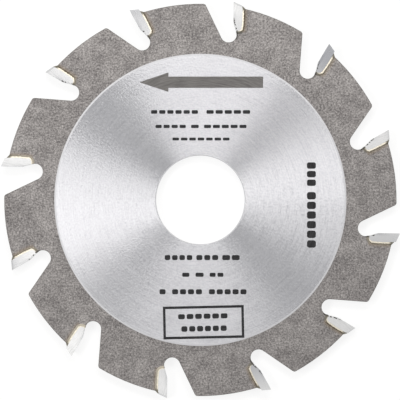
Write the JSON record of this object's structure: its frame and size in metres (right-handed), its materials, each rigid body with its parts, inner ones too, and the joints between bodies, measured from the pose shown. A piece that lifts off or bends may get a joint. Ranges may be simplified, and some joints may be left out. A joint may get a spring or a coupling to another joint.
{
  "type": "biscuit joiner blade",
  "caption": "Round steel joiner blade with hooked carbide tips brazed into its rim, open gullets, a brushed hub and a plain central bore.",
  "frame": {"origin": "centre of the arbor bore, halfway through the plate", "axes": "+Z along the bore axis, out of the printed face; +Y up the print; +X to the right of the print"},
  "size_m": [0.0986, 0.0986, 0.004],
  "materials": {
    "plate_steel": "concentric brushed hub, bead-blasted rim",
    "ground_carbide": "fine ground",
    "silver_solder": "as brazed, ground flat at the side",
    "print_ink": "thin dark printing ink"
  },
  "bodies": {
    "root": {"blade_body": "plate_steel", "tip_01": "ground_carbide", "tip_02": "ground_carbide", "tip_03": "ground_carbide", "tip_04": "ground_carbide", "tip_05": "ground_carbide", "tip_06": "ground_carbide", "tip_07": "ground_carbide", "tip_08": "ground_carbide", "tip_09": "ground_carbide", "tip_10": "ground_carbide", "tip_11": "ground_carbide", "tip_12": "ground_carbide", "braze_01": "silver_solder", "braze_02": "silver_solder", "braze_03": "silver_solder", "braze_04": "silver_solder", "braze_05": "silver_solder", "braze_06": "silver_solder", "braze_07": "silver_solder", "braze_08": "silver_solder", "braze_09": "silver_solder", "braze_10": "silver_solder", "braze_11": "silver_solder", "braze_12": "silver_solder"}
  },
  "joints": []
}
